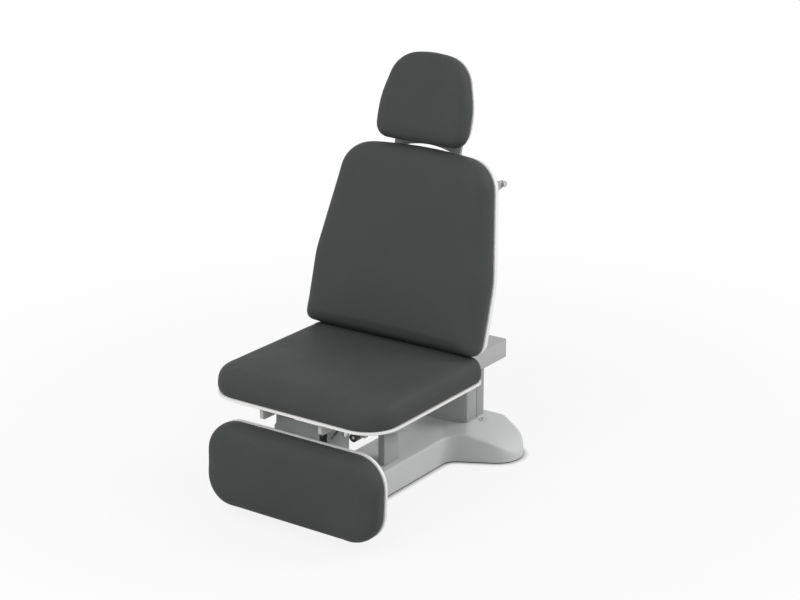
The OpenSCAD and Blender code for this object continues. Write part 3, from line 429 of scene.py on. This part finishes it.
# Closed shape round a node or a part of one, a little larger, for cutting its place out
def cutterOf(node, grow, down, wanted=None):
    obj = copyOfNode(node, node + "_cutter")
    if wanted:
        selectVerts(obj, lambda v: not wanted(v.co))
        bpy.ops.mesh.delete(type="VERT")
        bpy.ops.object.mode_set(mode="OBJECT")
    bpy.ops.object.mode_set(mode="EDIT")
    bpy.ops.mesh.select_all(action="SELECT")
    bpy.ops.mesh.convex_hull()
    bpy.ops.object.mode_set(mode="OBJECT")
    low = min(v.co.z for v in obj.data.vertices)
    high = max(v.co.z for v in obj.data.vertices)
    mid = sum((v.co for v in obj.data.vertices), Vector()) / len(obj.data.vertices)
    for v in obj.data.vertices:
        side = Vector((v.co.x - mid.x, v.co.y - mid.y, 0))
        v.co += Vector((math.copysign(grow, side.x), math.copysign(grow, side.y), 0))
        if v.co.z < (low + high) / 2:
            v.co.z -= down
        else:
            v.co.z += grow
    return obj


def softCover(c):
    low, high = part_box("base_cover")
    obj = copyOfNode("base_cover", "base_cover_moulded")
    keepOuter(obj)
    inletLow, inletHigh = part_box("power_inlet")
    edge = inletHigh.x + c["past"]
    selectVerts(obj, lambda v: v.is_boundary and abs(v.co.x) < edge and v.co.y > inletLow.y)
    bpy.ops.mesh.edge_face_add()
    selectVerts(obj, lambda v: v.is_boundary and v.co.z < low.z + c["rim"])
    bpy.ops.mesh.extrude_region_move(TRANSFORM_OT_translate={"value": (0, 0, -c["down"])})
    bpy.ops.mesh.select_all(action="SELECT")
    bpy.ops.mesh.fill_holes(sides=0)
    bpy.ops.mesh.quads_convert_to_tris()
    bpy.ops.mesh.normals_make_consistent(inside=False)
    bpy.ops.object.mode_set(mode="OBJECT")
    even = obj.modifiers.new("even", "REMESH")
    even.mode = "VOXEL"
    even.voxel_size = c["voxel"]
    applyAll(obj)
    wings = obj.vertex_groups.new(name="wings")  # the wings are softer than the long body
    for v in obj.data.vertices:
        out = min(max((abs(v.co.x) - c["bodyHalf"]) / c["blend"], 0), 1)
        wings.add([v.index], c["bodyShare"] + (1 - c["bodyShare"]) * out, "REPLACE")
    soft = obj.modifiers.new("soft", "SMOOTH")
    soft.factor = 0.5
    soft.iterations = c["soften"]
    soft.vertex_group = "wings"
    applyAll(obj)
    obj.vertex_groups.clear()
    bpy.ops.object.mode_set(mode="EDIT")
    bpy.ops.mesh.select_all(action="SELECT")
    bpy.ops.mesh.bisect(plane_co=(0, 0, low.z), plane_no=(0, 0, 1), clear_inner=True)
    bpy.ops.object.mode_set(mode="OBJECT")
    wall = obj.modifiers.new("wall", "SOLIDIFY")
    wall.thickness = c["wall"]
    wall.offset = -1
    applyAll(obj)
    gap, deep, shallow = c["gap"], c["deepCut"], c["plugCut"]
    cutters = [
        cutterOf("column_outer", gap, deep),
        cutterOf("rest_post", gap, deep),
        cutterOf("cover_plugs", gap, shallow, lambda p: p.x > 0),
        cutterOf("cover_plugs", gap, shallow, lambda p: p.x < 0),
        cutterOf("power_inlet", gap, deep),
    ]
    for cutter in cutters:
        cut = obj.modifiers.new("cut", "BOOLEAN")
        cut.operation = "DIFFERENCE"
        cut.solver = "EXACT"
        cut.object = cutter
        applyAll(obj)
        bpy.data.objects.remove(cutter)
    only(obj)
    smoothOver(c["angle"])
    settle(obj, "base_cover")
    return obj


made = softCover(coverSet)
print("base cover:", len(made.data.polygons), "faces")


# Upholstered pads: skin over foam, swollen by a cloth simulation from the CAD pad
pads = {
    "seat_cushion": {"voxel": 0.006, "start": 0.0012, "pressure": 3.0, "cap": 0.003, "fill": 0.95},
    "back_cushion": {
        "voxel": 0.006, "start": 0.0012, "pressure": 3.0, "cap": 0.003, "fill": 0.95,
        "corner": 0.042, "tighter": 0.026,
    },
    "foot_cushion": {"voxel": 0.006, "start": 0.0012, "pressure": 3.0, "cap": 0.003, "fill": 0.95},
    "head_cushion": {
        "voxel": 0.005, "start": 0.0012, "pressure": 3.0, "cap": 0.0025, "fill": 0.95,
        "corner": 0.06, "tighter": 0.038,
    },
}
clothSet = {
    "frames": 14, "quality": 3, "tension": 20.0, "bending": 5.0, "mass": 0.3,
    "held": 0.022, "settle": 6,  # metres of the side held to the board, smoothing steps afterwards
    "freeFrom": 0.7,  # share of the held side that the smoothing leaves alone
}
lean = math.radians(15.7)
hang = math.radians(3.0)
padFacing = {  # way each pad faces, from its board to its crown
    "seat_cushion": Vector((0, 0, 1)),
    "back_cushion": Vector((0, -math.cos(lean), math.sin(lean))),
    "head_cushion": Vector((0, -math.cos(lean), math.sin(lean))),
    "foot_cushion": Vector((0, -math.cos(hang), math.sin(hang))),
}


def shiftAlongNormals(obj, amount):
    normals = [v.normal.copy() for v in obj.data.vertices]
    for v, n in zip(obj.data.vertices, normals):
        v.co += n * amount


def inflate(pad, p, face):
    before = [v.co.copy() for v in pad.data.vertices]
    back = min(v.co.dot(face) for v in pad.data.vertices)
    board = pad.vertex_groups.new(name="board")
    free = pad.vertex_groups.new(name="free")
    for v in pad.data.vertices:
        off = (v.co.dot(face) - back) / clothSet["held"]
        board.add([v.index], 1.0 if off < 1 else 0.0, "REPLACE")
        free.add([v.index], min(max(off - clothSet["freeFrom"], 0), 1), "REPLACE")
    cloth = pad.modifiers.new("cloth", "CLOTH")
    c = cloth.settings
    c.quality = clothSet["quality"]
    c.mass = clothSet["mass"]
    c.tension_stiffness = clothSet["tension"]
    c.compression_stiffness = clothSet["tension"]
    c.bending_stiffness = clothSet["bending"]
    c.use_pressure = True
    c.uniform_pressure_force = p["pressure"]
    c.vertex_group_mass = "board"
    c.effector_weights.gravity = 0
    cloth.collision_settings.use_collision = False
    cloth.point_cache.frame_start = 1
    cloth.point_cache.frame_end = clothSet["frames"]
    for step in range(1, clothSet["frames"] + 1):
        bpy.context.scene.frame_set(step)
    applyAll(pad)
    bpy.context.scene.frame_set(1)
    for v, start in zip(pad.data.vertices, before):
        move = v.co - start
        if move.length > p["cap"]:
            v.co = start + move.normalized() * p["cap"]
    calm = pad.modifiers.new("calm", "SMOOTH")
    calm.factor = 0.5
    calm.iterations = clothSet["settle"]
    calm.vertex_group = "free"
    applyAll(pad)
    pad.vertex_groups.clear()


# Draws the two lower corners of a pad out from their arc to a tighter one
def tightenCorners(pad, p, face):
    up = Vector((1, 0, 0)).cross(face)
    up *= math.copysign(1, up.z)
    wide, small = p["corner"], p["tighter"]
    low = min(v.co.dot(up) for v in pad.data.vertices)
    half = max(abs(v.co.x) for v in pad.data.vertices if v.co.dot(up) < low + 1.3 * wide)
    mid = wide - small
    for v in pad.data.vertices:
        out = abs(v.co.x) - (half - wide)
        down = low + wide - v.co.dot(up)
        far = math.hypot(out, down)
        if out <= 0 or down <= 0 or far < 1e-6:
            continue
        u, w = out / far, down / far
        if wide * w / u <= mid:
            reach = wide / u
        elif wide * u / w <= mid:
            reach = wide / w
        else:
            along = (u + w) * mid
            reach = along + math.sqrt(along * along - (2 * mid * mid - small * small))
        grow = (reach / wide - 1) * min(far / wide, 1)
        v.co += Vector((math.copysign(out, v.co.x), 0, 0)) * grow - up * down * grow


def makePad(node, p):
    pad = copyOfNode(node, node + "_upholstered")
    remesh = pad.modifiers.new("even", "REMESH")
    remesh.mode = "VOXEL"
    remesh.voxel_size = p["voxel"]
    smooth = pad.modifiers.new("smooth", "SMOOTH")
    smooth.factor = 0.5
    smooth.iterations = 2
    applyAll(pad)
    if "corner" in p:
        tightenCorners(pad, p, padFacing[node])
    shiftAlongNormals(pad, p["start"])
    inflate(pad, p, padFacing[node])
    fine = pad.modifiers.new("fine", "SUBSURF")
    fine.levels = 1
    fine.render_levels = 1
    applyAll(pad)
    bpy.ops.object.shade_smooth()
    settle(pad, node)
    return pad


def growth(obj, node):
    low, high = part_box(node)
    rows = []
    for i in range(3):
        spots = [v.co[i] for v in obj.data.vertices]
        below, above = low[i] - min(spots), max(spots) - high[i]
        rows.append((round(below * 1000, 1), round(above * 1000, 1)))
    return rows


for node, p in pads.items():
    made = makePad(node, p)
    print("pad:", node, len(made.data.polygons), "stands proud, mm:", growth(made, node))


# Hardware that the CAD shows as plain discs
screwSet = {
    "sides": 36, "recess": 0.45, "depth": 0.5, "dome": 0.45, "domeSteps": 4, "ledge": 0.12,
}


def islands(obj):
    left = set(range(len(obj.data.vertices)))
    near = {i: [] for i in left}
    for e in obj.data.edges:
        near[e.vertices[0]].append(e.vertices[1])
        near[e.vertices[1]].append(e.vertices[0])
    found = []
    while left:
        todo = [left.pop()]
        group = []
        while todo:
            i = todo.pop()
            group.append(i)
            for j in near[i]:
                if j in left:
                    left.discard(j)
                    todo.append(j)
        found.append([obj.data.vertices[i].co.copy() for i in group])
    return found


# One button-head screw with a six-sided recess, its head towards way
def addScrew(spot, way, radius, height):
    bpy.ops.object.select_all(action="DESELECT")
    bpy.ops.mesh.primitive_cylinder_add(
        vertices=screwSet["sides"], radius=radius, depth=height, location=(0, 0, 0)
    )
    screw = bpy.context.object
    bpy.ops.object.mode_set(mode="EDIT")
    bm = bmesh.from_edit_mesh(screw.data)
    rim = [e for e in bm.edges if all(v.co.z > 0 for v in e.verts)]
    bpy.ops.mesh.select_all(action="DESELECT")
    for e in rim:
        e.select = True
    bmesh.update_edit_mesh(screw.data)
    bpy.ops.mesh.bevel(offset=height * screwSet["dome"], segments=screwSet["domeSteps"])
    bm = bmesh.from_edit_mesh(screw.data)
    bpy.ops.mesh.select_all(action="DESELECT")
    top = max(bm.faces, key=lambda f: f.calc_center_median().z + len(f.verts))
    top.select = True
    bmesh.update_edit_mesh(screw.data)
    bpy.ops.mesh.inset(thickness=radius * screwSet["ledge"])
    bm = bmesh.from_edit_mesh(screw.data)
    flat = next(f for f in bm.faces if f.select)
    for v in flat.verts:
        turn = math.atan2(v.co.y, v.co.x) % (math.pi / 3) - math.pi / 6
        reach = radius * screwSet["recess"] / math.cos(turn)
        around = math.atan2(v.co.y, v.co.x)
        v.co.x, v.co.y = reach * math.cos(around), reach * math.sin(around)
    bmesh.update_edit_mesh(screw.data)
    down = -height * screwSet["depth"]
    bpy.ops.mesh.extrude_region_move(TRANSFORM_OT_translate={"value": (0, 0, down)})
    bpy.ops.object.mode_set(mode="OBJECT")
    screw.rotation_mode = "QUATERNION"
    screw.rotation_quaternion = way.to_track_quat("Z", "Y")
    screw.location = spot
    bpy.ops.object.transform_apply(location=True, rotation=True, scale=True)
    return screw


def replaceScrews(node, way):
    source = copyOfNode(node, node + "_places")
    spots = islands(source)
    bpy.data.objects.remove(source)
    made = []
    for spotList in spots:
        centre = sum(spotList, Vector()) / len(spotList)
        reach = max((c - centre - way * (c - centre).dot(way)).length for c in spotList)
        tall = 2 * max(abs((c - centre).dot(way)) for c in spotList)
        made.append(addScrew(centre, way, reach, tall))
    bpy.ops.object.select_all(action="DESELECT")
    for m in made:
        m.select_set(True)
    bpy.context.view_layer.objects.active = made[0]
    bpy.ops.object.join()
    screws = bpy.context.object
    screws.name = node + "_hex"
    only(screws)
    smoothOver(turnedAngle)
    settle(screws, node)
    return len(made)


print("foot screws:", replaceScrews("foot_screws", -padFacing["foot_cushion"]))
print("back screws:", replaceScrews("back_screws", -padFacing["back_cushion"]))


# Rear cover plugs: a cap in the cover's colour round a dark screw, whose black also stands as
# painted shade for the dark of the plug's hole
plugSet = {
    "sides": 48, "play": 0.0001, "dot": 0.0046, "deep": 0.004, "edge": 0.0003,
    "screwShare": 0.86, "screwHigh": 0.0025, "screwDown": 0.002,
}


def addPlug(side, p):
    low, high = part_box("cover_plugs")
    radius = (high.y - low.y) / 2
    spot = Vector((side * (high.x - radius), (low.y + high.y) / 2, (low.z + high.z) / 2))
    bpy.ops.object.select_all(action="DESELECT")
    bpy.ops.mesh.primitive_cylinder_add(
        vertices=p["sides"], radius=radius - p["play"], depth=high.z - low.z, location=spot
    )
    cap = bpy.context.object
    cap.name = "plug_cap_" + ("right" if side > 0 else "left")
    bpy.ops.object.transform_apply(location=True, rotation=True, scale=True)
    bpy.ops.object.mode_set(mode="EDIT")
    bpy.ops.mesh.select_mode(type="FACE")
    bpy.ops.mesh.select_all(action="DESELECT")
    bm = bmesh.from_edit_mesh(cap.data)
    max(bm.faces, key=lambda f: f.calc_center_median().z).select = True
    bmesh.update_edit_mesh(cap.data)
    bpy.ops.mesh.inset(thickness=radius - p["play"] - p["dot"])
    bpy.ops.mesh.extrude_region_move(TRANSFORM_OT_translate={"value": (0, 0, -p["deep"])})
    bpy.ops.object.mode_set(mode="OBJECT")
    edge = cap.modifiers.new("edge", "BEVEL")
    edge.width = p["edge"]
    edge.segments = 2
    edge.limit_method = "ANGLE"
    applyAll(cap)
    smoothOver(turnedAngle)
    top = Vector((spot.x, spot.y, high.z - p["screwDown"] - p["screwHigh"] / 2))
    screw = addScrew(top, Vector((0, 0, 1)), p["dot"] * p["screwShare"], p["screwHigh"])
    screw.name = "plug_screw_" + ("right" if side > 0 else "left")
    only(screw)
    smoothOver(turnedAngle)
    # the black screw darkens the plug's hole: partly the screw's own colour, partly painted shade
    for piece, slotName in ((cap, "cover_plastic"), (screw, "black_plastic")):
        dress(piece, slotFinish[slotName])
        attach(piece, "base")
    return cap


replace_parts(addPlug(1, plugSet), "cover_plugs")
addPlug(-1, plugSet)


# Pale dot in the control socket, a painted highlight, and the three contacts in the supply inlet
glintDotSet = {"sides": 40, "radius": 0.0042, "deep": 0.0012, "sunk": 0.002, "edgeShare": 0.35}
contactSet = {
    "wide": 0.002, "tall": 0.004, "long": 0.009, "pitch": 0.007, "up": 0.029,
    "sunk": 0.0145, "edge": 0.0005,
}


def addGlintDot(d):
    low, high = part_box("control_socket")
    bpy.ops.object.select_all(action="DESELECT")
    bpy.ops.mesh.primitive_cylinder_add(
        vertices=d["sides"], radius=d["radius"], depth=d["deep"],
        location=((low.x + high.x) / 2, low.y + d["sunk"] - d["deep"] / 2, (low.z + high.z) / 2),
        rotation=(math.pi / 2, 0, 0),
    )
    dot = bpy.context.object
    dot.name = "socket_glint_dot"
    edge = dot.modifiers.new("edge", "BEVEL")
    edge.width = d["deep"] * d["edgeShare"]
    edge.segments = 3
    applyAll(dot)
    bpy.ops.object.transform_apply(location=True, rotation=True, scale=True)
    smoothOver(turnedAngle)
    # the ivory dot is a painted highlight on the dark socket
    dress(dot, "ivoryShell")
    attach(dot, "carriage")


def addContacts(c):
    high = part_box("power_inlet")[1]
    for i, side in enumerate((-1, 0, 1)):
        bpy.ops.object.select_all(action="DESELECT")
        spot = (side * c["pitch"], high.y - c["sunk"] + c["long"] / 2, c["up"])
        bpy.ops.mesh.primitive_cube_add(size=1, location=spot)
        blade = bpy.context.object
        blade.name = "inlet_contact_" + str(i + 1)
        blade.scale = (c["wide"], c["long"], c["tall"])
        bpy.ops.object.transform_apply(location=True, rotation=True, scale=True)
        edge = blade.modifiers.new("edge", "BEVEL")
        edge.width = c["edge"]
        edge.segments = 2
        applyAll(blade)
        smoothOver(turnedAngle)
        dress(blade, "drawnSteel")
        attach(blade, "base")


addGlintDot(glintDotSet)
addContacts(contactSet)
print("small hardware made")


# Floor and light
stageSet = {
    "size": 40.0, "shade": 0.7, "glow": 0.85, "near": 0.8, "far": 2.4, "ambient": 0.58,
    # the last three set the painted contact shadow on the floor: its reach, where it starts and
    # its darkest
    "contact": 0.022, "paintedShadowFrom": 0.3, "paintedShadowDarkest": 0.0,
}
lamps = [
    {"name": "key", "place": (0.6, -3.9, 4.1), "aim": (0, -0.3, 0.4), "size": 2.6, "watts": 85},
    {"name": "side", "place": (3.6, 3.0, 3.2), "aim": (0, -0.2, 0.4), "size": 2.6, "watts": 115},
    {"name": "front", "place": (-2.2, -4.4, 2.6), "aim": (0, -0.3, 0.6), "size": 3.5, "watts": 20},
]


# Share of a ray that the picture shows: camera, mirror and glass rays
def seenRays(tree):
    n, k = tree.nodes, tree.links
    path = n.new("ShaderNodeLightPath")
    total = path.outputs["Is Camera Ray"]
    for kind in ("Is Glossy Ray", "Is Transmission Ray"):
        add = n.new("ShaderNodeMath")
        add.operation = "ADD"
        add.use_clamp = True
        k.new(total, add.inputs[0])
        k.new(path.outputs[kind], add.inputs[1])
        total = add.outputs["Value"]
    return total


def addFloor(s):
    bpy.ops.object.select_all(action="DESELECT")
    bpy.ops.mesh.primitive_plane_add(size=s["size"], location=(0, 0, 0))
    floor = bpy.context.object
    floor.name = "floor"
    mat = bpy.data.materials.new("paleFloor")
    mat.use_nodes = True
    tree = mat.node_tree
    n, k = tree.nodes, tree.links
    n.clear()
    out = n.new("ShaderNodeOutputMaterial")
    matt = n.new("ShaderNodeBsdfDiffuse")
    matt.inputs["Color"].default_value = (s["shade"],) * 3 + (1,)
    glow = n.new("ShaderNodeEmission")
    # painted contact shadow: ambient occlusion darkens the floor's white glow under and round the
    # chair
    corner = n.new("ShaderNodeAmbientOcclusion")  # darkens the white where the base stands on it
    corner.inputs["Distance"].default_value = s["contact"]
    depth = n.new("ShaderNodeMapRange")
    depth.inputs["From Min"].default_value = s["paintedShadowFrom"]
    depth.inputs["To Min"].default_value = s["paintedShadowDarkest"]
    k.new(corner.outputs["AO"], depth.inputs["Value"])
    k.new(depth.outputs["Result"], glow.inputs["Strength"])
    place = n.new("ShaderNodeTexCoord")
    away = n.new("ShaderNodeVectorMath")
    away.operation = "LENGTH"
    fade = n.new("ShaderNodeMapRange")  # plain white away from the chair
    fade.inputs["From Min"].default_value = s["near"]
    fade.inputs["From Max"].default_value = s["far"]
    fade.inputs["To Min"].default_value = s["glow"]
    share = n.new("ShaderNodeMath")
    share.operation = "MULTIPLY"
    mix = n.new("ShaderNodeMixShader")
    k.new(place.outputs["Object"], away.inputs[0])
    k.new(away.outputs["Value"], fade.inputs["Value"])
    k.new(fade.outputs["Result"], share.inputs[0])
    k.new(seenRays(tree), share.inputs[1])
    k.new(share.outputs["Value"], mix.inputs["Fac"])
    k.new(matt.outputs["BSDF"], mix.inputs[1])
    k.new(glow.outputs["Emission"], mix.inputs[2])
    k.new(mix.outputs["Shader"], out.inputs["Surface"])
    floor.data.materials.append(mat)


def addWorld(s):
    world = bpy.data.worlds.new("studio")
    bpy.context.scene.world = world
    world.use_nodes = True
    tree = world.node_tree
    n, k = tree.nodes, tree.links
    n.clear()
    out = n.new("ShaderNodeOutputWorld")
    soft = n.new("ShaderNodeBackground")
    soft.inputs["Color"].default_value = (1, 1, 1, 1)
    soft.inputs["Strength"].default_value = s["ambient"]
    white = n.new("ShaderNodeBackground")
    white.inputs["Color"].default_value = (1, 1, 1, 1)
    mix = n.new("ShaderNodeMixShader")
    k.new(seenRays(tree), mix.inputs["Fac"])
    k.new(soft.outputs["Background"], mix.inputs[1])
    k.new(white.outputs["Background"], mix.inputs[2])
    k.new(mix.outputs["Shader"], out.inputs["Surface"])


def addLamp(l):
    bpy.ops.object.light_add(type="AREA", location=l["place"])
    lamp = bpy.context.object
    lamp.name = l["name"]
    lamp.data.size = l["size"]
    lamp.data.energy = l["watts"]
    way = Vector(l["aim"]) - Vector(l["place"])
    lamp.rotation_euler = way.to_track_quat("-Z", "Y").to_euler()


addFloor(stageSet)
addWorld(stageSet)
for l in lamps:
    addLamp(l)
bpy.context.scene.view_settings.view_transform = "Standard"
print("stage set")
